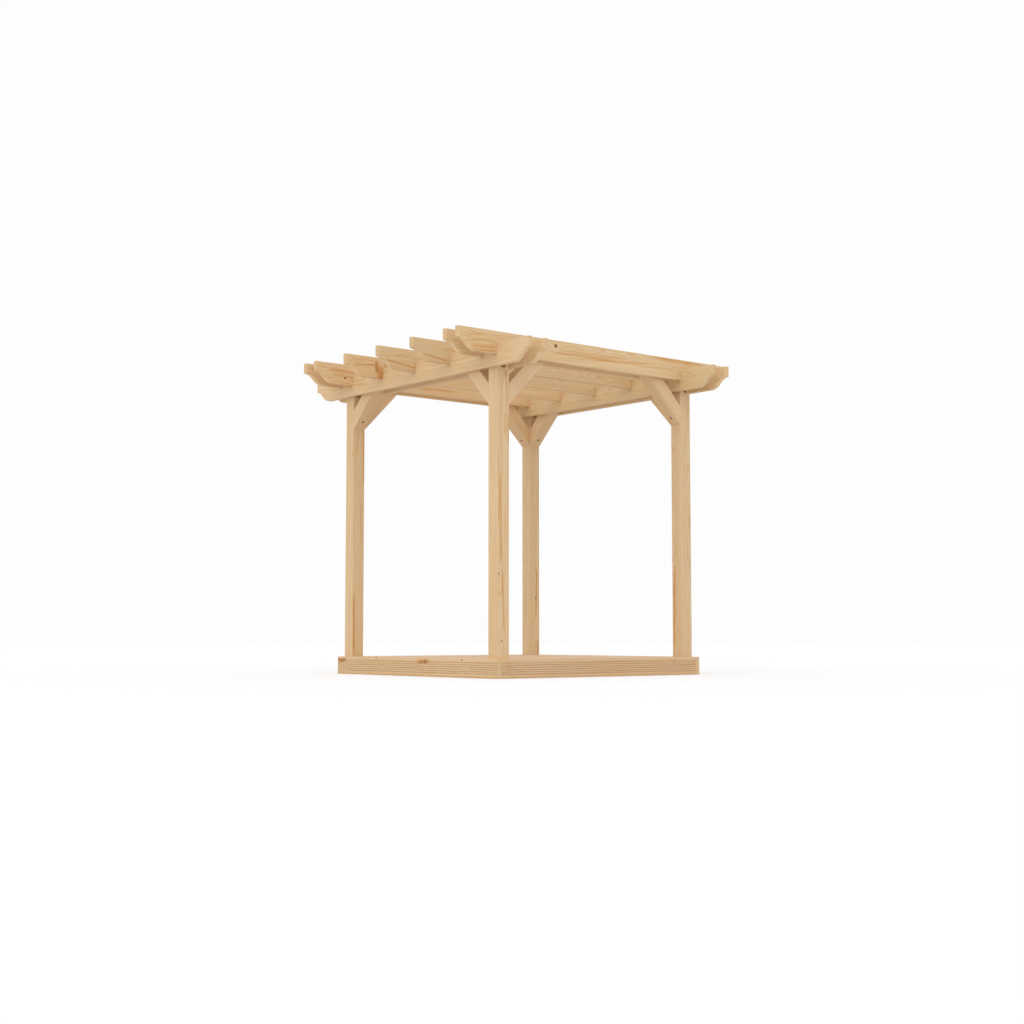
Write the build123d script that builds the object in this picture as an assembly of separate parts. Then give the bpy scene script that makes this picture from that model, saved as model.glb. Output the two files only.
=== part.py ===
from build123d import *
from math import cos, floor, radians, sin, sqrt
import os

# Timber pergola standing on its own low deck, in millimetres.
# X runs along the rafters, Y runs along the beams, Z is up.
# The origin is on the ground under the middle of the deck.

# Deck frame, measured over its outside faces
deck_width = 1800
deck_depth = 1800
frame_board_height = 122
frame_board_thickness = 35

# Deck surface and the joists under it
deck_board_width = 120
deck_board_thickness = 28
deck_board_least_gap = 3
joist_thickness = 45
joist_count = 4
post_cutout_clearance = 2

# How much is planed off the long edges of the timbers that show
arris = 2

# Grooves along the face of a deck board or a frame board
groove_pitch = 14
groove_width = 7
groove_depth = 3
groove_taper = 70
plain_margin = 20

# Posts and the open slot in each post head
post_size = 94
post_slot_width = 35

# Beams and rafters, all cut from one size of plank
plank_thickness = 35
plank_depth = 145
overhang = 305
beam_underside = 1966
notch_depth = 36.25
notch_clearance = 0.5
middle_rafter_count = 3
middle_bay_gain = 9.5
middle_rafters_forward = 10.5

# Ogee at the end of every plank: a hollow above a round, both of one radius
ogee_rise = 76
ogee_radius = 107
ogee_steepest = 50

# Knee braces, cut at 45 degrees from post to plank, gripped by the pair of planks above
brace_depth = 94
brace_reach = 230
brace_grip = 70
screw_hole_diameter = 12
screw_hole_depth = 22
screw_hole_rise = 46.5

# Levels
joist_depth = frame_board_height - deck_board_thickness
rafter_underside = beam_underside + plank_depth - 2 * notch_depth
rafter_top = rafter_underside + plank_depth

# Faces of the posts, measured out from the middle of the deck
post_outer_x = deck_width / 2 - frame_board_thickness
post_outer_y = deck_depth / 2 - frame_board_thickness
post_inner_x = post_outer_x - post_size
post_inner_y = post_outer_y - post_size
post_centre_x = post_outer_x - post_size / 2
post_centre_y = post_outer_y - post_size / 2

# A beam pair or a rafter pair clasps the posts on both faces
beam_names = ["left_outer_beam", "left_inner_beam", "right_inner_beam", "right_outer_beam"]
beam_centres = [
    -post_outer_x - plank_thickness / 2,
    -post_inner_x + plank_thickness / 2,
    post_inner_x - plank_thickness / 2,
    post_outer_x + plank_thickness / 2,
]
front_inner_centre = -post_inner_y + plank_thickness / 2
back_inner_centre = post_inner_y - plank_thickness / 2
rafter_centres = {
    "front_outer_rafter": -post_outer_y - plank_thickness / 2,
    "front_inner_rafter": front_inner_centre,
    "back_inner_rafter": back_inner_centre,
    "back_outer_rafter": post_outer_y + plank_thickness / 2,
}

# The middle rafters stand a little wider apart and a little forward, so the front bay is the short one
bay_count = middle_rafter_count + 1
middle_pitch = (back_inner_centre - front_inner_centre) / bay_count + middle_bay_gain
for number in range(1, bay_count):
    steps = number - bay_count / 2
    rafter_centres[f"middle_rafter_{number}"] = steps * middle_pitch - middle_rafters_forward

posts = {
    "front_left": (-1, -1),
    "front_right": (1, -1),
    "back_left": (-1, 1),
    "back_right": (1, 1),
}


# Half of a plank's side view, from the middle of its length out to the ogee
def half_plank_side(length):
    end = length / 2
    turn_rise = ogee_radius * (1 - cos(radians(ogee_steepest)))
    start_cosine = cos(radians(ogee_steepest)) + (ogee_rise - turn_rise) / ogee_radius
    start_sine = sqrt(1 - start_cosine**2)
    round_run = ogee_radius * sin(radians(ogee_steepest))
    hollow_run = round_run - ogee_radius * start_sine
    lip = (end, ogee_rise)
    turn = (end - hollow_run, turn_rise)
    foot = (end - hollow_run - round_run, 0)
    outline = [
        Line((0, 0), (0, plank_depth)),
        Line((0, plank_depth), (end, plank_depth)),
        Line((end, plank_depth), lip),
        RadiusArc(lip, turn, -ogee_radius),
        RadiusArc(turn, foot, ogee_radius),
        Line(foot, (0, 0)),
    ]
    return make_face(outline)


# A plank on edge, centred on X, with its underside at height 0
def ogee_plank(length):
    half = half_plank_side(length)
    side = half + mirror(half, about=Plane.YZ)
    plank = extrude(Plane.XZ * side, amount=plank_thickness / 2, both=True)
    return chamfer(plank.faces().filter_by(Axis.Y).edges(), arris)


# The gap that one crossing plank needs
def crossing_gap(position, height):
    width = plank_thickness + 2 * notch_clearance
    return Pos(position, 0, height) * Box(width, 2 * plank_thickness, notch_depth)


def make_rafter(centre):
    rafter = ogee_plank(deck_width + 2 * overhang)
    for position in beam_centres:
        rafter -= crossing_gap(position, notch_depth / 2)
    return Pos(0, centre, rafter_underside) * rafter


def make_beam(centre):
    beam = ogee_plank(deck_depth + 2 * overhang)
    for position in rafter_centres.values():
        beam -= crossing_gap(position, plank_depth - notch_depth / 2)
    return Pos(centre, 0, beam_underside) * Rot(0, 0, 90) * beam


def make_post(side_x, side_y):
    upright = Align.MIN
    post = Box(post_size, post_size, rafter_top, align=(Align.CENTER, Align.CENTER, upright))
    post = chamfer(post.edges().filter_by(Axis.Z), arris)
    slot_height = rafter_top - beam_underside
    slot = Box(post_slot_width, 2 * post_size, slot_height, align=(Align.CENTER, Align.CENTER, upright))
    post -= Pos(0, 0, beam_underside) * slot
    return Pos(side_x * post_centre_x, side_y * post_centre_y, 0) * post


# A brace seen from the side: X leads away from the post, Y is up from the beam underside
def brace_blank(head_rise):
    slant = brace_depth * sqrt(2)
    long_reach = brace_reach + head_rise
    outline = [
        (0, -brace_reach),
        (long_reach, head_rise),
        (long_reach - slant, head_rise),
        (0, slant - brace_reach),
    ]
    side = make_face(Polyline(*outline, close=True))
    blank = extrude(side, amount=post_size / 2, both=True)
    blank = chamfer(blank.edges().filter_by(Axis((0, 0, 0), (1, 1, 0))), arris)
    drill = Rot(0, 0, 45) * Rot(90, 0, 0) * Cylinder(screw_hole_diameter / 2, 2 * screw_hole_depth)
    return blank - Pos(screw_hole_rise, screw_hole_rise - brace_reach, 0) * drill


# Every brace starts at the same level and rises brace_grip above the planks that hold it
def make_brace(foot, lead, held_from):
    away = Vector(*lead)
    seat = Plane(origin=(*foot, beam_underside), x_dir=away, z_dir=away.cross(Vector(0, 0, 1)))
    return seat.location * brace_blank(held_from + brace_grip - beam_underside)


# A board lying flat along X, with its grooves on top and its underside at height 0
def grooved_board(length, width, thickness):
    section = Pos(0, thickness / 2) * Rectangle(width, thickness)
    section = chamfer(section.vertices().group_by(Axis.Y)[-1], arris)
    count = floor((width - 2 * plain_margin - groove_width) / groove_pitch) + 1
    groove = Trapezoid(groove_width, groove_depth, groove_taper, rotation=180)
    for index in range(count):
        offset = (index - (count - 1) / 2) * groove_pitch
        section -= Pos(offset, thickness - groove_depth / 2) * groove
    return extrude(Plane.YZ * section, amount=length / 2, both=True)


def make_frame_board(length, outward, distance):
    board = grooved_board(length, frame_board_height, frame_board_thickness)
    out = Vector(*outward)
    inner_face = out * (distance - frame_board_thickness)
    middle = Vector(inner_face.X, inner_face.Y, frame_board_height / 2)
    stance = Plane(origin=middle, x_dir=Vector(0, 0, 1).cross(out), z_dir=out)
    return stance.location * board


# The room that the four posts need where they pass through the deck boards
def post_cutouts():
    side = post_size + 2 * post_cutout_clearance
    cutouts = []
    for side_x, side_y in posts.values():
        block = Box(side, side, 4 * frame_board_height)
        cutouts.append(Pos(side_x * post_centre_x, side_y * post_centre_y, 0) * block)
    return cutouts


def make_deck_boards():
    inner_width = deck_width - 2 * frame_board_thickness
    inner_depth = deck_depth - 2 * frame_board_thickness
    pitch_limit = deck_board_width + deck_board_least_gap
    count = floor((inner_depth + deck_board_least_gap) / pitch_limit)
    pitch = (inner_depth - deck_board_width) / (count - 1)
    cutouts = post_cutouts()
    boards = []
    for index in range(count):
        centre = (deck_board_width - inner_depth) / 2 + index * pitch
        board = grooved_board(inner_width, deck_board_width, deck_board_thickness)
        board = Pos(0, centre, joist_depth) * board
        if abs(centre) + deck_board_width / 2 > post_inner_y - post_cutout_clearance:
            board -= cutouts
        boards.append(board)
    return boards


def make_joists():
    length = deck_depth - 2 * frame_board_thickness
    first = -post_inner_x + joist_thickness / 2
    pitch = -2 * first / (joist_count - 1)
    joist = Pos(0, 0, joist_depth / 2) * Box(joist_thickness, length, joist_depth)
    return [Pos(first + index * pitch, 0, 0) * joist for index in range(joist_count)]


def make_parts():
    parts = {}
    for corner, (side_x, side_y) in posts.items():
        parts[f"{corner}_post"] = make_post(side_x, side_y)
        beam_foot = (side_x * post_centre_x, side_y * post_inner_y)
        rafter_foot = (side_x * post_inner_x, side_y * post_centre_y)
        parts[f"{corner}_beam_brace"] = make_brace(beam_foot, (0, -side_y, 0), beam_underside)
        parts[f"{corner}_rafter_brace"] = make_brace(rafter_foot, (-side_x, 0, 0), rafter_underside)
    for name, centre in zip(beam_names, beam_centres):
        parts[name] = make_beam(centre)
    for name, centre in rafter_centres.items():
        parts[name] = make_rafter(centre)
    short_length = deck_width - 2 * frame_board_thickness
    parts["left_frame_board"] = make_frame_board(deck_depth, (-1, 0, 0), deck_width / 2)
    parts["right_frame_board"] = make_frame_board(deck_depth, (1, 0, 0), deck_width / 2)
    parts["front_frame_board"] = make_frame_board(short_length, (0, -1, 0), deck_depth / 2)
    parts["back_frame_board"] = make_frame_board(short_length, (0, 1, 0), deck_depth / 2)
    for number, board in enumerate(make_deck_boards(), start=1):
        parts[f"deck_board_{number:02d}"] = board
    for number, joist in enumerate(make_joists(), start=1):
        parts[f"joist_{number}"] = joist
    return parts


os.makedirs("parts", exist_ok=True)
for name, solid in make_parts().items():
    export_step(solid, f"parts/{name}.step")
    print(name, round(solid.volume))
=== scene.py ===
import bpy
import math
import random
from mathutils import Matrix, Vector


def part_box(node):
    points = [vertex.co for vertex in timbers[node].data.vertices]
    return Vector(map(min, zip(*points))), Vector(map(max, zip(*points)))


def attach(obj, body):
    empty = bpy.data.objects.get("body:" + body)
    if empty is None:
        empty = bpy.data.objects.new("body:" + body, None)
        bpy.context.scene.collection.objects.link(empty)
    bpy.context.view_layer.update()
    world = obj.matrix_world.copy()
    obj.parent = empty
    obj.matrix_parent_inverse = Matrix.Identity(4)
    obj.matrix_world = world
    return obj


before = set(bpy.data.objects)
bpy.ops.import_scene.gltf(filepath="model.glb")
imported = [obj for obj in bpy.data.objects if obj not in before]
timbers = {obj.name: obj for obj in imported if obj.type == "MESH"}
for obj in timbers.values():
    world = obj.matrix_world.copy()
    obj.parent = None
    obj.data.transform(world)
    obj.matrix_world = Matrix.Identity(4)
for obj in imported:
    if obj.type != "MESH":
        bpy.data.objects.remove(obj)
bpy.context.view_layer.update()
bpy.ops.object.select_all(action="DESELECT")
print("frame loaded with", len(timbers), "timbers")

dice = random.Random(41)


# Camera, set where the photograph was taken from
shot = {
    "place": (-7.0101, -8.5166, 0.2672),
    "heading": 39.297,       # degrees from +Y towards +X
    "tilt": 4.5145,          # degrees up from level, which is a turn of 90
    "lens": 55.095,          # mm, on a sensor as wide as the next value
    "sensor": 36.0,
    "sight": 300,            # metres
}


def placeCamera():
    turn = (math.radians(90 + shot["tilt"]), 0, -math.radians(shot["heading"]))
    bpy.ops.object.camera_add(location=shot["place"], rotation=turn)
    camera = bpy.context.object
    camera.name = "camera"
    camera.data.sensor_fit = "HORIZONTAL"
    camera.data.sensor_width = shot["sensor"]
    camera.data.lens = shot["lens"]
    camera.data.clip_end = shot["sight"]
    bpy.context.scene.camera = camera


placeCamera()
print("camera placed")


# Small helpers for node trees
def addNode(tree, kind, **settings):
    node = tree.nodes.new(kind)
    for name, value in settings.items():
        setattr(node, name, value)
    return node


def feed(tree, socket, source):
    if isinstance(source, bpy.types.NodeSocket):
        tree.links.new(source, socket)
    else:
        socket.default_value = source


def mathNode(tree, operation, first, second=0.0, third=0.0, clamp=False):
    node = addNode(tree, "ShaderNodeMath", operation=operation, use_clamp=clamp)
    for socket, source in zip(node.inputs, (first, second, third)):
        feed(tree, socket, source)
    return node.outputs[0]


def vectorNode(tree, operation, first, second=(0, 0, 0)):
    node = addNode(tree, "ShaderNodeVectorMath", operation=operation)
    feed(tree, node.inputs[0], first)
    feed(tree, node.inputs[1], second)
    answer = "Value" if operation in ("LENGTH", "DOT_PRODUCT") else "Vector"
    return node.outputs[answer]


def rampNode(tree, value, low, high, newLow=0.0, newHigh=1.0, style="SMOOTHSTEP"):
    node = addNode(tree, "ShaderNodeMapRange", interpolation_type=style)
    for socket, source in zip(node.inputs[:5], (value, low, high, newLow, newHigh)):
        feed(tree, socket, source)
    return node.outputs["Result"]


# 0 before the rise, 1 between rise and fall, and 0 again after the fall
def bandNode(tree, value, rise, fall):
    return mathNode(tree, "MULTIPLY", rampNode(tree, value, *rise), rampNode(tree, value, *fall, 1.0, 0.0))


# 1 where the share is 0, and the given light where it is 1
def lightNode(tree, share, light):
    return rampNode(tree, share, 0.0, 1.0, 1.0, light, "LINEAR")


# How squarely a face looks along an axis, from 0 to 1
def squareTo(tree, normal, axis):
    return mathNode(tree, "ABSOLUTE", vectorNode(tree, "DOT_PRODUCT", normal, axis))


# Noise with so many waves in a metre, in each direction
def noiseNode(tree, place, waves, detail=2.0, roughness=0.5, seed=0.0, answer="Fac"):
    noise = addNode(tree, "ShaderNodeTexNoise", noise_dimensions="4D")
    feed(tree, noise.inputs["Vector"], vectorNode(tree, "MULTIPLY", place, waves))
    feed(tree, noise.inputs["W"], seed)
    noise.inputs["Scale"].default_value = 1.0
    noise.inputs["Detail"].default_value = detail
    noise.inputs["Roughness"].default_value = roughness
    return noise.outputs[answer]


# A place pushed to and fro by noise, so that what is drawn there wavers
def strayNode(tree, place, reach, noise, seed):
    push = noiseNode(tree, place, seed=seed, answer="Color", **noise)
    push = vectorNode(tree, "SUBTRACT", push, (0.5, 0.5, 0.5))
    push = vectorNode(tree, "MULTIPLY", push, reach)
    return vectorNode(tree, "ADD", place, push)


def mixColour(tree, amount, first, second, style="MIX"):
    node = addNode(tree, "ShaderNodeMix", data_type="RGBA", blend_type=style)
    pairs = {"Factor_Float": amount, "A_Color": first, "B_Color": second}
    for socket in node.inputs:
        if socket.identifier in pairs:
            feed(tree, socket, pairs[socket.identifier])
    return [socket for socket in node.outputs if socket.identifier == "Result_Color"][0]


def dimColour(tree, colour, light):
    grey = addNode(tree, "ShaderNodeCombineColor")
    for socket in grey.inputs:
        feed(tree, socket, light)
    return mixColour(tree, 1.0, colour, grey.outputs["Color"], "MULTIPLY")


def addBump(tree, shader, height, strength, distance):
    bump = addNode(tree, "ShaderNodeBump")
    bump.inputs["Strength"].default_value = strength
    bump.inputs["Distance"].default_value = distance
    feed(tree, bump.inputs["Height"], height)
    feed(tree, shader.inputs["Normal"], bump.outputs["Normal"])


numberSocket, placeSocket, colourSocket = "NodeSocketFloat", "NodeSocketVector", "NodeSocketColor"


def newGroup(name, inputs, outputs):
    group = bpy.data.node_groups.new(name, "ShaderNodeTree")
    for label, kind in inputs.items():
        group.interface.new_socket(name=label, in_out="INPUT", socket_type=kind)
    for label, kind in outputs.items():
        group.interface.new_socket(name=label, in_out="OUTPUT", socket_type=kind)
    return group, addNode(group, "NodeGroupInput").outputs, addNode(group, "NodeGroupOutput").inputs


def addGroup(tree, group, values):
    node = addNode(tree, "ShaderNodeGroup", node_tree=group)
    for label, source in values.items():
        feed(tree, node.inputs[label], source)
    return node.outputs


# Pine: growth rings round a pith line, fibres along it, and a slow drift of tone.
# A noise has its waves per metre along the grain and across it. Lengths are in metres
pine = {
    "early": (0.735, 0.520, 0.300, 1),
    "late": (0.600, 0.330, 0.105, 1),
    "pithAway": (0.035, 0.075),          # off the middle of the timber, through its wide face
    "pithStray": (0, 0.132, 0.132),
    "pithNoise": {"waves": (0.8, 2.0, 2.0), "roughness": 0.45},
    "ringGap": 0.0058,
    "ringUneven": 2.2,                   # in rings
    "unevenNoise": {"waves": (0, 40, 40), "detail": 1.0},
    "ringRipple": 0.5,
    "rippleNoise": {"waves": (5, 150, 150), "roughness": 0.6},
    "lateRise": (0.25, 0.92),            # late wood comes slowly in each ring
    "lateFall": (0.94, 1.0),             # and ends sharply
    "lateShare": 0.70,
    "ringPower": 1.6,                    # a few rings are strong and most are faint
    "ringSpread": 0.8,
    "ringLeast": 0.25,
    "fibreNoise": {"waves": (4, 520, 520), "detail": 4.0, "roughness": 0.62},
    "fibreDepth": 0.16,
    "dashNoise": {"waves": (26, 1500, 1500), "detail": 1.0},
    "dashRise": (0.60, 0.74),
    "dashDepth": 0.30,
    "streakNoise": {"waves": (0.55, 60, 60), "roughness": 0.6},
    "streakRise": (0.30, 0.72),
    "patchNoise": {"waves": (1.8, 9, 9), "detail": 1.0},
    "patchShare": 0.5,
    "toneMiddle": 0.75,                  # of streaks and patches together
    "toneDepth": 0.11,
    "toneTint": (1.0, 1.55, 2.9),        # a darker streak is also a yellower one
    "grooveShade": 0.86,                 # painted shade, with some dust, darkens the grooves
    "grooveSunk": (0.0006, 0.0024),
    "grooveFacing": (0.1, 0.3),
    "arrisPaintedLight": 1.04,                  # painted highlight on the planed corners between two faces
    "arrisRise": (0.50, 0.62),
    "arrisFall": (0.80, 0.90),
    "sawnPaintedLight": 1.18,                   # painted highlight on the sawn ogees too
    "sawnRise": (0.05, 0.40),
    "sawnFall": (0.85, 0.97),
    "endShade": (0.80, 0.74, 0.66, 1),   # square ends across the grain are a shade darker
    "endShare": 0.20,
    "endRise": (0.85, 1.0),
    "roughness": 0.74,
    "fibreGloss": 0.16,
    "lateHeight": 0.5,
    "bumpDistance": 0.0005,
    "bumpStrength": 0.40,
    "seeds": 50,                         # each timber's noise starts by chance from 0 to this
}


# How much of the dark late wood of a ring shows at a place
def lateWood(group, moved, given):
    crossSection = vectorNode(group, "MULTIPLY", moved, (0, 1, 1))
    radius = mathNode(group, "ADD", vectorNode(group, "LENGTH", crossSection), given["Bend"])
    uneven = noiseNode(group, crossSection, seed=given["Seed"], **pine["unevenNoise"])
    ripple = noiseNode(group, moved, seed=given["Seed"], **pine["rippleNoise"])
    phase = mathNode(group, "DIVIDE", radius, pine["ringGap"])
    phase = mathNode(group, "MULTIPLY_ADD", uneven, pine["ringUneven"], phase)
    phase = mathNode(group, "MULTIPLY_ADD", ripple, pine["ringRipple"], phase)
    late = bandNode(group, mathNode(group, "FRACT", phase), pine["lateRise"], pine["lateFall"])
    perRing = addNode(group, "ShaderNodeTexWhiteNoise", noise_dimensions="1D")
    feed(group, perRing.inputs["W"], mathNode(group, "FLOOR", phase))
    strong = mathNode(group, "POWER", perRing.outputs["Value"], pine["ringPower"])
    strong = mathNode(group, "MULTIPLY_ADD", strong, pine["ringSpread"], pine["ringLeast"])
    return mathNode(group, "MULTIPLY", late, strong)


# Long fibres with short darker dashes among them
def woodFibre(group, given):
    fibre = noiseNode(group, given["Place"], seed=given["Seed"], **pine["fibreNoise"])
    dash = noiseNode(group, given["Place"], seed=given["Seed"], **pine["dashNoise"])
    dash = rampNode(group, dash, *pine["dashRise"])
    return mathNode(group, "MULTIPLY_ADD", dash, -pine["dashDepth"], fibre)


# The colour to multiply by: broad streaks along the length, slower changes from place to place, and fibres
def woodTone(group, moved, fibre, given):
    streak = noiseNode(group, moved, seed=given["Seed"], **pine["streakNoise"])
    streak = rampNode(group, streak, *pine["streakRise"], style="LINEAR")
    patch = noiseNode(group, given["Place"], seed=given["Seed"], **pine["patchNoise"])
    tone = mathNode(group, "MULTIPLY_ADD", patch, pine["patchShare"], streak)
    tone = mathNode(group, "SUBTRACT", tone, pine["toneMiddle"])
    tone = mathNode(group, "MULTIPLY", tone, given["Figure"])
    tone = mathNode(group, "MULTIPLY_ADD", tone, pine["toneDepth"], 1.0)
    light = mathNode(group, "MULTIPLY_ADD", fibre, pine["fibreDepth"], 1 - pine["fibreDepth"] / 2)
    light = mathNode(group, "MULTIPLY", light, tone)
    shade = addNode(group, "ShaderNodeCombineColor")
    for socket, power in zip(shade.inputs, pine["toneTint"]):
        feed(group, socket, mathNode(group, "POWER", light, power))
    return shade.outputs["Color"]


# Painted shade in the grooves, painted highlights on planed corners and sawn ogees, and darker square ends
# are told by how a face is turned and how deep it lies
def cutLight(group, colour, given):
    across = addNode(group, "ShaderNodeSeparateXYZ")
    feed(group, across.inputs[0], given["Timber"])
    depth = mathNode(group, "SUBTRACT", given["Half"], mathNode(group, "ABSOLUTE", across.outputs["Y"]))
    facing = squareTo(group, given["Normal"], (0, 1, 0))
    ending = squareTo(group, given["Normal"], (1, 0, 0))
    outward = rampNode(group, facing, *pine["grooveFacing"])
    sunk = mathNode(group, "MULTIPLY", rampNode(group, depth, *pine["grooveSunk"]), outward)
    arris = bandNode(group, facing, pine["arrisRise"], pine["arrisFall"])
    sawn = bandNode(group, ending, pine["sawnRise"], pine["sawnFall"])
    # painted shade darkens the sunk grooves
    colour = dimColour(group, colour, lightNode(group, sunk, pine["grooveShade"]))
    # painted highlight on the planed corners
    colour = dimColour(group, colour, lightNode(group, arris, pine["arrisPaintedLight"]))
    # painted highlight on the sawn ogees
    colour = dimColour(group, colour, lightNode(group, sawn, pine["sawnPaintedLight"]))
    end = mathNode(group, "MULTIPLY", rampNode(group, ending, *pine["endRise"]), pine["endShare"])
    return mixColour(group, end, colour, mixColour(group, 1.0, colour, pine["endShade"], "MULTIPLY"))


# Place is measured from the pith and Timber from the middle of the timber, and Normal is turned as it is.
# Half is half a grooved board's thickness, and 0 where there are no grooves
def makePineGroup():
    inputs = {
        "Place": placeSocket,
        "Timber": placeSocket,
        "Normal": placeSocket,
        "Bend": numberSocket,
        "Seed": numberSocket,
        # the colour multiplier: each timber's own tone, and painted shade on the timbers that stand more in
        # shade
        "ToneAndShade": colourSocket,
        "Figure": numberSocket,
        "Half": numberSocket,
        "Polish": numberSocket,
    }
    outputs = {"Colour": colourSocket, "Roughness": numberSocket, "Height": numberSocket}
    group, given, result = newGroup("pineGrain", inputs, outputs)

    # the pith strays slowly along the length, so the rings make long pointed figures
    moved = strayNode(group, given["Place"], pine["pithStray"], pine["pithNoise"], given["Seed"])
    late = lateWood(group, moved, given)
    fibre = woodFibre(group, given)
    amount = mathNode(group, "MULTIPLY", late, pine["lateShare"])
    amount = mathNode(group, "MULTIPLY", amount, given["Figure"])
    colour = mixColour(group, amount, pine["early"], pine["late"])
    colour = mixColour(group, 1.0, colour, woodTone(group, moved, fibre, given), "MULTIPLY")
    # the colour multiplier holds the timber's own tone, and painted shade on timbers that stand more in
    # shade
    colour = mixColour(group, 1.0, colour, given["ToneAndShade"], "MULTIPLY")
    feed(group, result["Colour"], cutLight(group, colour, given))
    rough = mathNode(group, "MULTIPLY_ADD", fibre, -pine["fibreGloss"], pine["roughness"])
    feed(group, result["Roughness"], mathNode(group, "SUBTRACT", rough, given["Polish"]))
    feed(group, result["Height"], mathNode(group, "MULTIPLY_ADD", late, pine["lateHeight"], fibre))
    return group


# A knot runs straight through the timber, and the rings bend round it.
# Its rises, falls and reach are in knot radii
knotLook = {
    "heart": (0.330, 0.120, 0.045, 1),
    "rim": (0.150, 0.052, 0.022, 1),
    "reach": 2.8,                        # how far the bent grain spreads
    "ragged": 0.5,
    "raggedNoise": {"waves": (130, 130, 130)},
    "halo": 0.10,                        # the wood round a knot is paler
    "haloRise": (1.0, 1.25),
    "haloFall": (1.3, 2.0),
    "heartFall": (0.85, 1.12),
    "rimRise": (0.70, 0.95),
    "rimFall": (1.0, 1.2),
    "ringTurn": 24.0,                    # radians of ring in each knot radius
    "ringDepth": 0.35,
}


def makeKnotGroup():
    inputs = {
        "Bend": numberSocket,
        "Place": placeSocket,
        "Centre": placeSocket,
        "Spread": placeSocket,
        "Radius": numberSocket,
    }
    group, given, result = newGroup("knotShape", inputs, {"Share": numberSocket, "Bend": numberSocket})
    away = vectorNode(group, "SUBTRACT", given["Place"], given["Centre"])
    away = vectorNode(group, "MULTIPLY", away, given["Spread"])
    distance = vectorNode(group, "LENGTH", away)
    ragged = noiseNode(group, away, **knotLook["raggedNoise"])
    share = mathNode(group, "DIVIDE", distance, given["Radius"])
    share = mathNode(group, "MULTIPLY_ADD", ragged, knotLook["ragged"], share)
    feed(group, result["Share"], mathNode(group, "SUBTRACT", share, knotLook["ragged"] / 2))

    # the bend of the rings fades out as a bell does
    reach = mathNode(group, "MULTIPLY", given["Radius"], knotLook["reach"])
    wide = mathNode(group, "DIVIDE", distance, reach)
    square = mathNode(group, "MULTIPLY", wide, wide)
    bell = mathNode(group, "EXPONENT", mathNode(group, "MULTIPLY", square, -1.0))
    feed(group, result["Bend"], mathNode(group, "MULTIPLY_ADD", bell, given["Radius"], given["Bend"]))
    return group


def makeKnotColourGroup():
    inputs = {"Colour": colourSocket, "Share": numberSocket, "Depth": numberSocket}
    group, given, result = newGroup("knotColour", inputs, {"Colour": colourSocket})
    share = given["Share"]
    halo = bandNode(group, share, knotLook["haloRise"], knotLook["haloFall"])
    colour = dimColour(group, given["Colour"], mathNode(group, "MULTIPLY_ADD", halo, knotLook["halo"], 1.0))
    heart = rampNode(group, share, *knotLook["heartFall"], 1.0, 0.0)
    heart = mathNode(group, "MULTIPLY", heart, given["Depth"])
    colour = mixColour(group, heart, colour, knotLook["heart"])
    rings = mathNode(group, "SINE", mathNode(group, "MULTIPLY", share, knotLook["ringTurn"]))
    rings = mathNode(group, "MULTIPLY", rampNode(group, rings, -1.0, 1.0), knotLook["ringDepth"])
    rim = bandNode(group, share, knotLook["rimRise"], knotLook["rimFall"])
    dark = mathNode(group, "MULTIPLY", mathNode(group, "MAXIMUM", rings, rim), heart)
    feed(group, result["Colour"], mixColour(group, dark, colour, knotLook["rim"]))
    return group


# A darker, yellower streak that follows the grain from one point on a face to another.
# Above a strength of 1 it turns to the dark brown of a knot's rim
streakLook = {
    "colour": (0.84, 0.62, 0.36, 1),
    "wave": (0.006, 0.006, 0.006),
    "waveNoise": {"waves": (9, 9, 9), "detail": 1.0},
    "sideFall": (0.15, 1.0),             # in half widths
    "startRise": (0.0, 0.2),             # in lengths
    "finishFall": (0.8, 1.0),
    "brownRise": (1.0, 2.0),
}


def makeStreakGroup():
    inputs = {
        "Colour": colourSocket,
        "Place": placeSocket,
        "Start": placeSocket,
        "Run": placeSocket,
        "Width": numberSocket,
        "Strength": numberSocket,
    }
    group, given, result = newGroup("grainStreak", inputs, {"Colour": colourSocket})
    run = given["Run"]
    moved = strayNode(group, given["Place"], streakLook["wave"], streakLook["waveNoise"], given["Width"])
    away = vectorNode(group, "SUBTRACT", moved, given["Start"])
    square = vectorNode(group, "DOT_PRODUCT", run, run)
    share = mathNode(group, "DIVIDE", vectorNode(group, "DOT_PRODUCT", away, run), square, clamp=True)
    along = addNode(group, "ShaderNodeVectorMath", operation="SCALE")
    feed(group, along.inputs[0], run)
    feed(group, along.inputs["Scale"], share)
    gap = vectorNode(group, "LENGTH", vectorNode(group, "SUBTRACT", away, along.outputs["Vector"]))
    gap = mathNode(group, "DIVIDE", gap, given["Width"])
    body = rampNode(group, gap, *streakLook["sideFall"], 1.0, 0.0)
    ends = bandNode(group, share, streakLook["startRise"], streakLook["finishFall"])
    amount = mathNode(group, "MULTIPLY", mathNode(group, "MULTIPLY", body, ends), given["Strength"])
    darker = mixColour(group, 1.0, given["Colour"], streakLook["colour"], "MULTIPLY")
    brown = rampNode(group, given["Strength"], *streakLook["brownRise"])
    darker = mixColour(group, brown, darker, knotLook["rim"])
    feed(group, result["Colour"], mixColour(group, amount, given["Colour"], darker))
    return group


pineGroup = makePineGroup()
knotGroup = makeKnotGroup()
knotColourGroup = makeKnotColourGroup()
streakGroup = makeStreakGroup()


# A place or a direction, told along the grain, through the wide face and across it
def turnTo(tree, source, axes):
    join = addNode(tree, "ShaderNodeCombineXYZ")
    for socket, axis in zip(join.inputs, axes):
        feed(tree, socket, vectorNode(tree, "DOT_PRODUCT", source, tuple(axis)))
    return join.outputs["Vector"]


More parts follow.
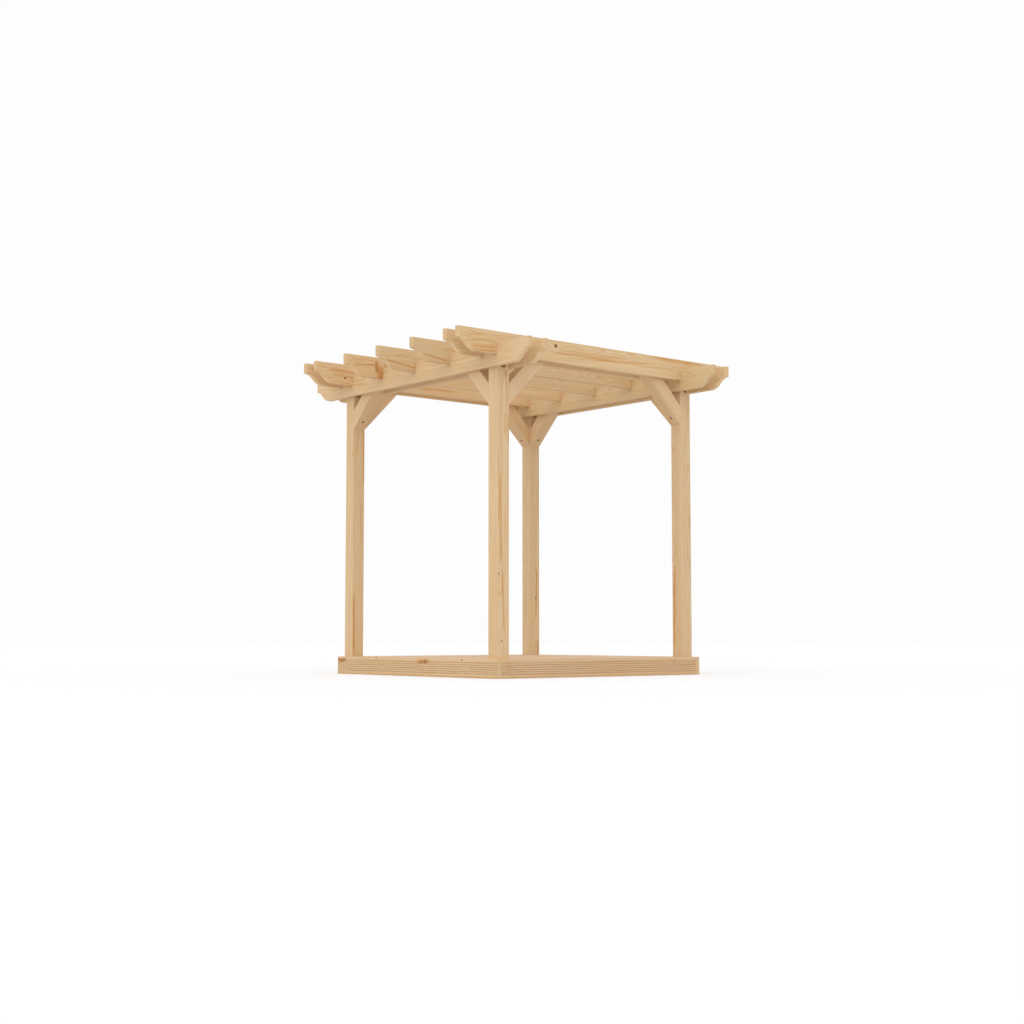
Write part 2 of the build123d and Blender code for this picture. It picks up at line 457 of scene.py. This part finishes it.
# Turns the pith line a little off the middle of the timber, by chance
def placePith(tree, inTimber, cut):
    away = dice.choice((-1, 1)) * dice.uniform(*pine["pithAway"])
    aside = dice.uniform(-cut["aside"], cut["aside"])
    leans = [math.radians(dice.uniform(-cut["lean"], cut["lean"])) for _ in range(2)]
    turned = addNode(tree, "ShaderNodeMapping")
    feed(tree, turned.inputs["Vector"], inTimber)
    turned.inputs["Location"].default_value = (0, -away, -aside)
    turned.inputs["Rotation"].default_value = (0, *leans)
    return turned.outputs["Vector"]


# One pine finish per timber. A knot is (place along, place up, radius, stretch along the grain, depth of
# colour), and a streak is (start, finish, half width, strength), in metres
def makePine(name, cut, look, streaks=()):
    material = bpy.data.materials.new(name + "_pine")
    material.use_nodes = True
    tree = material.node_tree
    shader = tree.nodes["Principled BSDF"]
    coordinates = addNode(tree, "ShaderNodeTexCoord").outputs
    low, high = (Vector(corner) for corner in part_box(name))
    centre = (low + high) / 2
    along = Vector(cut["along"]).normalized()
    up = Vector(cut["up"]).normalized()
    through = up.cross(along)
    axes = (along, through, up)
    inTimber = turnTo(tree, vectorNode(tree, "SUBTRACT", coordinates["Object"], tuple(centre)), axes)
    fromPith = placePith(tree, inTimber, cut)

    bend = 0.0
    knots = []
    for x, z, radius, stretch, depth in look.get("knots", ()):
        knot = addGroup(tree, knotGroup, {
            "Bend": bend,
            "Place": inTimber,
            "Centre": (x - along.dot(centre), 0, z - up.dot(centre)),
            "Spread": (1 / stretch, 0, 1),
            "Radius": radius,
        })
        bend = knot["Bend"]
        knots.append((knot["Share"], depth))

    grain = addGroup(tree, pineGroup, {
        "Place": fromPith,
        "Timber": inTimber,
        "Normal": turnTo(tree, coordinates["Normal"], axes),
        "Bend": bend,
        "Seed": dice.uniform(0, pine["seeds"]),
        "ToneAndShade": (*look["toneAndShade"], 1),
        "Figure": cut["figure"],
        "Half": abs(through.dot(high - low)) / 2 if cut.get("grooved") else 0.0,
        "Polish": cut.get("polish", 0.0),
    })
    colour = grain["Colour"]
    for start, finish, width, strength in streaks:
        values = {"Colour": colour, "Place": coordinates["Object"], "Start": start, "Width": width}
        values["Run"] = Vector(finish) - Vector(start)
        values["Strength"] = strength
        colour = addGroup(tree, streakGroup, values)["Colour"]
    for share, depth in knots:
        values = {"Colour": colour, "Share": share, "Depth": depth}
        colour = addGroup(tree, knotColourGroup, values)["Colour"]
    feed(tree, shader.inputs["Base Color"], colour)
    feed(tree, shader.inputs["Roughness"], grain["Roughness"])
    addBump(tree, shader, grain["Height"], pine["bumpStrength"], pine["bumpDistance"])

    slots = timbers[name].data.materials
    for index in range(len(slots)):
        slots[index] = material


# Streaks are drawn flat on a timber's front or left face, and the frame says where that face is
def faceStreaks(name, look):
    left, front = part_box(name)[0][:2]
    streaks = []
    for (x, z), (farX, farZ), width, strength in look.get("frontStreaks", ()):
        streaks.append(((x, front, z), (farX, front, farZ), width, strength))
    for (y, z), (farY, farZ), width, strength in look.get("leftStreaks", ()):
        streaks.append(((left, y, z), (left, farY, farZ), width, strength))
    return streaks


# How a timber is sawn: "along" is the grain and "up" runs across the wide face. The pith lies up to "aside"
# metres off the middle, the grain leans up to "lean" degrees, and "figure" is how strongly the rings show
rafterCut = {"along": (1, 0, 0), "up": (0, 0, 1), "aside": 0.03, "lean": 1.2, "figure": 1.0}
beamCut = {"along": (0, 1, 0), "up": (0, 0, 1), "aside": 0.03, "lean": 0.8, "figure": 0.7}

# Knots and streaks of the roof, as the photograph shows them, and a few knots where it doesn't reach
# Each timber's colour multiplier holds its own tone, and is lowered as painted shade on timbers that stand
# inside the frame
rafterLook = {
    "front_outer_rafter": {
        "toneAndShade": (1.0, 1.0, 0.97),
        "knots": [(-0.408, 2.146, 0.013, 1.0, 1.0), (0.93, 2.10, 0.006, 1.2, 0.6)],
        "frontStreaks": [
            ((-1.13, 2.067), (-0.89, 2.078), 0.014, 0.8),
            ((-1.12, 2.048), (-0.88, 2.054), 0.010, 0.9),
            ((-1.16, 2.108), (-0.88, 2.118), 0.007, 0.5),
            ((-1.15, 2.165), (-1.01, 2.148), 0.006, 0.7),
            ((-1.15, 2.133), (-1.01, 2.146), 0.006, 0.7),
            ((-0.50, 2.100), (0.15, 2.108), 0.012, 0.8),
            ((-0.42, 2.122), (0.25, 2.128), 0.009, 0.6),
            ((-0.15, 2.086), (0.50, 2.122), 0.009, 0.8),
            ((0.30, 2.094), (0.75, 2.112), 0.006, 0.6),
            ((0.42, 2.172), (1.00, 2.166), 0.014, 0.9),
        ],
    },
    "front_inner_rafter": {
        "toneAndShade": (1.0, 1.0, 1.0),
        "knots": [(0.25, 2.13, 0.009, 1.0, 0.8)],
    },
    "middle_rafter_1": {
        "toneAndShade": (0.95, 0.96, 0.95),
        "knots": [(1.02, 2.12, 0.010, 1.1, 0.7)],
        "frontStreaks": [
            ((-1.15, 2.088), (-0.90, 2.050), 0.009, 0.9),
            ((-1.00, 2.128), (-0.60, 2.120), 0.010, 0.5),
        ],
    },
    "middle_rafter_2": {
        "toneAndShade": (0.95, 0.96, 0.95),
        "knots": [(1.06, 2.10, 0.010, 1.2, 0.7)],
        "frontStreaks": [
            ((-1.16, 2.094), (-0.88, 2.060), 0.009, 1.0),
            ((-1.10, 2.135), (-0.80, 2.118), 0.010, 0.4),
        ],
    },
    "middle_rafter_3": {
        "toneAndShade": (1.0, 0.98, 0.94),
        "frontStreaks": [
            ((-0.957, 2.162), (-0.948, 2.070), 0.024, 1.25),
            ((-0.940, 2.130), (-0.926, 2.030), 0.032, 0.75),
            ((-0.904, 2.135), (-0.920, 2.020), 0.022, 0.95),
            ((-0.888, 2.165), (-0.876, 2.105), 0.012, 0.8),
            ((-1.15, 2.112), (-0.96, 2.130), 0.010, 0.9),
            ((-1.17, 2.150), (-0.95, 2.158), 0.006, 0.5),
        ],
    },
    "back_inner_rafter": {
        "toneAndShade": (1.0, 0.98, 0.94),
        "knots": [(-0.966, 2.086, 0.007, 1.5, 1.0), (0.40, 2.13, 0.010, 1.0, 0.8)],
        "frontStreaks": [
            ((-1.12, 2.138), (-0.86, 2.128), 0.016, 0.8),
            ((-1.08, 2.104), (-0.86, 2.096), 0.014, 0.6),
            ((-1.07, 2.056), (-0.90, 2.050), 0.007, 0.7),
            ((-0.70, 2.075), (0.10, 2.085), 0.014, 0.7),
        ],
    },
    "back_outer_rafter": {
        "toneAndShade": (1.0, 0.98, 0.95),
        "knots": [(0.12, 2.08, 0.010, 1.1, 0.8), (-0.70, 2.12, 0.008, 1.0, 0.8)],
        "frontStreaks": [((-1.19, 2.16), (-1.00, 2.09), 0.012, 0.8)],
    },
}
beamLook = {
    "left_outer_beam": {"toneAndShade": (1.0, 1.0, 1.0)},
    "left_inner_beam": {"toneAndShade": (1.0, 1.0, 1.0), "knots": [(0.15, 2.03, 0.011, 1.1, 0.8)]},
    "right_inner_beam": {"toneAndShade": (0.93, 0.95, 0.92)},
    "right_outer_beam": {
        "toneAndShade": (1.0, 1.0, 1.0),
        "knots": [(0.30, 2.05, 0.010, 1.0, 0.8), (-0.75, 2.01, 0.008, 1.2, 0.8)],
    },
}


def dressRoof():
    for name, look in rafterLook.items():
        makePine(name, rafterCut, look, faceStreaks(name, look))
    for name, look in beamLook.items():
        makePine(name, beamCut, look)


postCut = {"along": (0, 0, 1), "up": (1, 0, 0), "aside": 0.05, "lean": 0.6, "figure": 0.8}
# The colour multipliers below 1 on the posts are painted shade on the posts that stand more in shade, along
# with their own tone
postLook = {
    "front_left": {
        "toneAndShade": (1.0, 1.0, 1.0),
        "knots": [(0.655, -0.856, 0.004, 2.2, 1.0), (0.236, -0.833, 0.004, 2.0, 1.0)],
        "frontStreaks": [
            ((-0.799, 1.952), (-0.798, 1.902), 0.006, 1.5),
            ((-0.798, 1.93), (-0.790, 1.70), 0.006, 1.0),
            ((-0.856, 1.50), (-0.858, 0.95), 0.006, 0.8),
            ((-0.846, 1.35), (-0.831, 0.655), 0.011, 0.9),
            ((-0.831, 0.72), (-0.809, 0.26), 0.010, 0.9),
            ((-0.777, 1.68), (-0.777, 1.46), 0.005, 1.1),
        ],
        "leftStreaks": [((-0.800, 1.90), (-0.803, 1.20), 0.006, 0.4)],
    },
    "front_right": {
        "toneAndShade": (0.95, 0.96, 0.96),
        "knots": [(0.95, 0.81, 0.007, 1.1, 0.3)],
        "leftStreaks": [((-0.797, 0.80), (-0.788, 0.11), 0.014, 1.0)],
    },
    "back_left": {
        "toneAndShade": (0.97, 0.98, 0.97),
        "frontStreaks": [
            ((-0.853, 0.60), (-0.851, 0.10), 0.012, 1.1),
            ((-0.784, 1.78), (-0.778, 1.30), 0.008, 0.9),
            ((-0.799, 1.25), (-0.796, 0.90), 0.006, 0.7),
        ],
        "leftStreaks": [((0.781, 1.575), (0.779, 1.54), 0.007, 1.1)],
    },
    "back_right": {
        "toneAndShade": (0.95, 0.96, 0.94),
        "knots": [(0.562, 0.830, 0.006, 2.6, 0.8)],
        "frontStreaks": [
            ((0.840, 0.80), (0.828, 0.40), 0.011, 1.0),
            ((0.850, 0.24), (0.850, 0.10), 0.010, 1.1),
        ],
    },
}

# The screw hole in each brace, with painted shade drawn through it from outside its mouth, darkening the
# hole and a ring round it
braceKinds = ("beam_brace", "rafter_brace")
braceCut = {"aside": 0.04, "lean": 0.8, "figure": 0.6}
braceLook = {
    "toneAndShade": (1, 1, 1),
    "holeRise": 0.0465,      # from the foot of the brace to the hole
    "holeOut": 0.02,
    "holeIn": 0.04,
    "holeWidth": 0.011,
    "holeShadeStrength": 2.0,
}
upward = Vector((0, 0, 1))


# The side the brace leans to, level and unit long
def braceLead(corner, kind):
    sideX = 1 if "right" in corner else -1
    sideY = 1 if "back" in corner else -1
    return Vector((0, -sideY, 0)) if kind == "beam_brace" else Vector((-sideX, 0, 0))


# The hole in a brace is square to its underside, half way across
def braceHole(corner, kind):
    lead = braceLead(corner, kind)
    low, high = (Vector(end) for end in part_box(corner + "_" + kind))
    foot = (low + high) / 2 - lead * abs(lead.dot(high - low)) / 2
    foot.z = low.z
    mouth = foot + (lead + upward) * braceLook["holeRise"]
    return mouth, (lead - upward).normalized()


def dressBrace(corner, kind):
    lead = braceLead(corner, kind)
    mouth, outward = braceHole(corner, kind)
    start = mouth + outward * braceLook["holeOut"]
    finish = mouth - outward * braceLook["holeIn"]
    # painted shade in the screw hole and round its mouth
    holeShade = (start, finish, braceLook["holeWidth"], braceLook["holeShadeStrength"])
    cut = dict(braceCut, along=lead + upward, up=upward - lead)
    makePine(corner + "_" + kind, cut, braceLook, [holeShade])


def dressPosts():
    for corner, look in postLook.items():
        name = corner + "_post"
        makePine(name, postCut, look, faceStreaks(name, look))
        for kind in braceKinds:
            dressBrace(corner, kind)


# Grooved boards on edge round the deck: the long streaks at height 0 are painted shade along their lower
# edge, where they stand on the floor
frameCut = {"up": (0, 0, 1), "aside": 0.03, "lean": 0.8, "figure": 0.8, "grooved": True}
frameLook = {
    "left": {
        "along": (0, 1, 0),
        "toneAndShade": (1.0, 1.0, 1.0),
        "knots": [
            (0.421, 0.118, 0.006, 1.6, 0.7),
            (-0.547, 0.114, 0.005, 2.4, 0.8),
            (-0.098, 0.095, 0.012, 1.2, 0.35),
            (-0.148, 0.099, 0.015, 1.4, 0.45),
            (0.840, 0.094, 0.012, 2.6, 0.3),
        ],
        "leftStreaks": [
            ((0.915, 0.099), (0.780, 0.103), 0.012, 1.35),
            ((0.890, 0.085), (0.805, 0.087), 0.011, 1.0),
            ((-0.045, 0.095), (-0.205, 0.100), 0.026, 0.9),
            # painted shade along the lower edge
            ((1.5, 0.0), (-1.5, 0.0), 0.018, 0.6),
        ],
    },
    "right": {
        "along": (0, 1, 0),
        "toneAndShade": (1.0, 1.0, 1.0),
        "knots": [(0.3, 0.08, 0.008, 1.2, 0.8), (-0.5, 0.03, 0.009, 1.1, 0.8)],
    },
    "front": {
        "along": (1, 0, 0),
        "toneAndShade": (0.98, 0.95, 0.96),
        # painted shade along the lower edge
        "frontStreaks": [((-1.5, 0.0), (1.5, 0.0), 0.018, 0.35)],
    },
    "back": {
        "along": (1, 0, 0),
        "toneAndShade": (1.0, 1.0, 1.0),
        "knots": [(-0.2, 0.10, 0.009, 1.2, 0.8), (0.55, 0.04, 0.007, 1.2, 0.8)],
    },
}

# Deck boards are smoother than the rest, and their knots and shades come by chance
boardCut = {
    "along": (1, 0, 0),
    "up": (0, 1, 0),
    "aside": 0.03,
    "lean": 1.2,
    "figure": 0.9,
    "grooved": True,
    "polish": 0.16,
}
boardLook = {
    "toneAndShade": (0.94, 0.94, 1.0),
    "shade": (0.96, 1.03),
    "knotCount": 2,
    "knotReach": 0.8,
    "knotMargin": 0.015,
    "knotRadius": (0.004, 0.009),
    "knotStretch": 1.2,
    "knotDepth": 0.8,
}
joistCut = {"along": (0, 1, 0), "up": (0, 0, 1), "aside": 0.03, "lean": 1.2, "figure": 0.8}
joistLook = {"toneAndShade": (0.98, 0.98, 0.98)}


def timbersCalled(start):
    return [name for name in sorted(timbers) if name.startswith(start)]


def chanceKnot(name):
    low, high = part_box(name)
    x = dice.uniform(-boardLook["knotReach"], boardLook["knotReach"])
    y = dice.uniform(low[1] + boardLook["knotMargin"], high[1] - boardLook["knotMargin"])
    radius = dice.uniform(*boardLook["knotRadius"])
    return x, y, radius, boardLook["knotStretch"], boardLook["knotDepth"]


def dressDeck():
    for side, look in frameLook.items():
        name = side + "_frame_board"
        makePine(name, dict(frameCut, along=look["along"]), look, faceStreaks(name, look))
    for name in timbersCalled("deck_board"):
        knots = [chanceKnot(name) for _ in range(boardLook["knotCount"])]
        shade = dice.uniform(*boardLook["shade"])
        toneAndShade = [shade * part for part in boardLook["toneAndShade"]]
        makePine(name, boardCut, {"toneAndShade": toneAndShade, "knots": knots})
    for name in timbersCalled("joist"):
        makePine(name, joistCut, joistLook)


dressRoof()
dressPosts()
dressDeck()
print("timbers dressed in pine")


# Screw heads, all of one shape: a low dome with a round recess for the driver
screwHead = {
    "sides": 18,
    "edge": 0.25,            # rounding of the top edge, in thicknesses
    "edgeSteps": 2,
    "skin": 0.05,            # how far down the top may reach, in thicknesses
    "topFacing": 0.9,        # least rise of a top face's normal
    "rim": 0.522,            # from the edge to the recess, in radii
    "recessDepth": 0.0014,
    "recessFloor": 0.82,     # width of its floor, in widths of its mouth
    "smoothAngle": 35,       # degrees
}
braceScrew = {
    "name": "braceScrew",
    "metal": "blackenedScrew",
    "tint": (0.045, 0.032, 0.022, 1),
    "roughness": 0.55,
    "radius": 0.0058,
    "thickness": 0.006,
    "sunk": 0.0035,          # from the mouth of the hole down to the head
}
deckScrew = {
    "name": "deckScrew",
    "metal": "steelScrew",
    "tint": (0.36, 0.34, 0.30, 1),
    "roughness": 0.40,
    "radius": 0.0044,
    "thickness": 0.003,
    "proud": 0.0003,
    "spread": 0.035,         # from the middle of a board to each screw
}
screwMetal = {
    "metallic": 0.9,
    "mottleNoise": {"waves": (700, 700, 700), "detail": 3.0, "roughness": 0.6},
    "wornLight": 1.8,
    "wornRise": (0.45, 0.75),
    "mottleRange": (0.2, 0.8),
    "smoother": 0.10,
    "rougher": 0.15,
    "bumpStrength": 0.2,
    "bumpDistance": 0.0002,
}


def pickFaces(piece, test):
    bpy.ops.object.mode_set(mode="OBJECT")
    for face in piece.data.polygons:
        face.select = test(face)
    bpy.ops.object.mode_set(mode="EDIT")


# The head points up. The inset takes in the upper half of the rounded edge with the flat top at height 0,
# so the mouth of the recess ends up higher than that top
def makeScrewHead(screw):
    radius, thickness = screw["radius"], screw["thickness"]
    bpy.ops.object.select_all(action="DESELECT")
    bpy.ops.mesh.primitive_cylinder_add(vertices=screwHead["sides"], radius=radius, depth=thickness,
                                        location=(0, 0, -thickness / 2))
    head = bpy.context.object
    head.name = screw["name"]
    bpy.ops.object.transform_apply(location=True, rotation=True, scale=True)
    bpy.ops.object.mode_set(mode="EDIT")
    bpy.ops.mesh.select_mode(type="FACE")
    bpy.ops.mesh.select_all(action="DESELECT")

    def onTop(face):
        return face.normal.z > screwHead["topFacing"] and face.center.z > -thickness * screwHead["skin"]

    pickFaces(head, onTop)
    rounding = thickness * screwHead["edge"]
    bpy.ops.mesh.bevel(offset=rounding, segments=screwHead["edgeSteps"], affect="EDGES")
    pickFaces(head, onTop)
    bpy.ops.mesh.inset(thickness=radius * screwHead["rim"])
    pickFaces(head, lambda face: onTop(face) and len(face.vertices) == screwHead["sides"])
    bpy.ops.mesh.extrude_region_move(TRANSFORM_OT_translate={"value": (0, 0, -screwHead["recessDepth"])})
    bpy.ops.transform.resize(value=(screwHead["recessFloor"], screwHead["recessFloor"], 1.0))
    bpy.ops.object.mode_set(mode="OBJECT")
    bpy.ops.object.shade_smooth_by_angle(angle=math.radians(screwHead["smoothAngle"]))
    return head


def makeMetal(screw):
    material = bpy.data.materials.new(screw["metal"])
    material.use_nodes = True
    tree = material.node_tree
    shader = tree.nodes["Principled BSDF"]
    shader.inputs["Metallic"].default_value = screwMetal["metallic"]
    place = addNode(tree, "ShaderNodeTexCoord").outputs["Object"]
    mottle = noiseNode(tree, place, **screwMetal["mottleNoise"])
    worn = [min(1.0, channel * screwMetal["wornLight"]) for channel in screw["tint"]]
    colour = mixColour(tree, rampNode(tree, mottle, *screwMetal["wornRise"]), screw["tint"], worn)
    feed(tree, shader.inputs["Base Color"], colour)
    smooth, rough = screw["roughness"] - screwMetal["smoother"], screw["roughness"] + screwMetal["rougher"]
    roughness = rampNode(tree, mottle, *screwMetal["mottleRange"], smooth, rough, "LINEAR")
    feed(tree, shader.inputs["Roughness"], roughness)
    addBump(tree, shader, mottle, screwMetal["bumpStrength"], screwMetal["bumpDistance"])
    return material


# Copies of one head, each with its own mesh, joined into one piece. A spot is (place, outward)
def setScrews(name, screw, spots):
    pattern = makeScrewHead(screw)
    copies = []
    for place, outward in spots:
        copy = pattern.copy()
        copy.data = pattern.data.copy()
        bpy.context.collection.objects.link(copy)
        copy.location = place
        copy.rotation_euler = Vector(outward).to_track_quat("Z", "Y").to_euler()
        copies.append(copy)
    bpy.data.objects.remove(pattern)
    bpy.ops.object.select_all(action="DESELECT")
    for copy in copies:
        copy.select_set(True)
    bpy.context.view_layer.objects.active = copies[0]
    bpy.ops.object.transform_apply(location=True, rotation=True, scale=True)
    bpy.ops.object.join()
    joined = bpy.context.object
    joined.name = name
    joined.data.materials.clear()
    joined.data.materials.append(makeMetal(screw))
    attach(joined, "root")


# One screw is sunk in the foot of each brace
def braceScrewSpots():
    spots = []
    for corner in postLook:
        for kind in braceKinds:
            mouth, outward = braceHole(corner, kind)
            spots.append((mouth - outward * braceScrew["sunk"], outward))
    return spots


# Two screws hold each deck board to each joist
def deckScrewSpots():
    joistBoxes = [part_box(name) for name in timbersCalled("joist")]
    joistLines = [(low[0] + high[0]) / 2 for low, high in joistBoxes]
    spots = []
    for name in timbersCalled("deck_board"):
        low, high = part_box(name)
        for x in joistLines:
            for side in (-1, 1):
                y = (low[1] + high[1]) / 2 + side * deckScrew["spread"]
                spots.append(((x, y, high[2] + deckScrew["proud"]), upward))
    return spots


setScrews("brace_screws", braceScrew, braceScrewSpots())
setScrews("deck_screws", deckScrew, deckScrewSpots())
print("screws set")


# Soft light from all round, a pale floor, and one broad lamp from the front left
studio = {
    "skyColour": (1, 1, 1, 1),
    "skyStrength": 0.955,
    "lampStrength": 0.73,
    "lampPlace": (0, 0, 4),
    "lampFrom": (-0.62, -0.36, 0.70),
    "lampSpread": 70,        # degrees
    "floorSize": 60,
    "floorColour": (0.68, 0.68, 0.68, 1),
    "floorLift": 0.25,
    "seenSky": (0.985, 0.985, 0.985, 1),
}


# The camera, and what reflects or lets light through, see a nearly white sky
def makeWorld():
    world = bpy.data.worlds.new("studioSky")
    bpy.context.scene.world = world
    world.use_nodes = True
    tree = world.node_tree
    light = tree.nodes["Background"]
    light.inputs["Color"].default_value = studio["skyColour"]
    light.inputs["Strength"].default_value = studio["skyStrength"]
    seen = addNode(tree, "ShaderNodeBackground")
    seen.inputs["Color"].default_value = studio["seenSky"]
    seen.inputs["Strength"].default_value = 1.0
    rays = addNode(tree, "ShaderNodeLightPath")
    direct = mathNode(tree, "MAXIMUM", rays.outputs["Is Camera Ray"], rays.outputs["Is Glossy Ray"])
    direct = mathNode(tree, "MAXIMUM", direct, rays.outputs["Is Transmission Ray"])
    mix = addNode(tree, "ShaderNodeMixShader")
    for socket, source in zip(mix.inputs, (direct, light.outputs[0], seen.outputs[0])):
        feed(tree, socket, source)
    feed(tree, tree.nodes["World Output"].inputs["Surface"], mix.outputs[0])


def makeLamp():
    bpy.ops.object.light_add(type="SUN", location=studio["lampPlace"])
    lamp = bpy.context.object
    lamp.name = "lamp"
    lamp.data.energy = studio["lampStrength"]
    lamp.data.angle = math.radians(studio["lampSpread"])
    lamp.rotation_euler = Vector(studio["lampFrom"]).to_track_quat("Z", "Y").to_euler()


# The floor keeps the shadow, and only the camera sees it lifted to white
def makeFloor():
    bpy.ops.mesh.primitive_plane_add(size=studio["floorSize"], location=(0, 0, 0))
    floor = bpy.context.object
    floor.name = "floor"
    material = bpy.data.materials.new("floorWhite")
    material.use_nodes = True
    tree = material.node_tree
    tree.nodes.remove(tree.nodes["Principled BSDF"])
    matt = addNode(tree, "ShaderNodeBsdfDiffuse")
    matt.inputs["Color"].default_value = studio["floorColour"]
    seen = addNode(tree, "ShaderNodeLightPath").outputs["Is Camera Ray"]
    lift = addNode(tree, "ShaderNodeEmission")
    feed(tree, lift.inputs["Strength"], mathNode(tree, "MULTIPLY", seen, studio["floorLift"]))
    both = addNode(tree, "ShaderNodeAddShader")
    feed(tree, both.inputs[0], matt.outputs[0])
    feed(tree, both.inputs[1], lift.outputs[0])
    feed(tree, tree.nodes["Material Output"].inputs["Surface"], both.outputs[0])
    floor.data.materials.append(material)


makeWorld()
makeLamp()
makeFloor()
bpy.context.scene.view_settings.view_transform = "Standard"
print("studio lit")
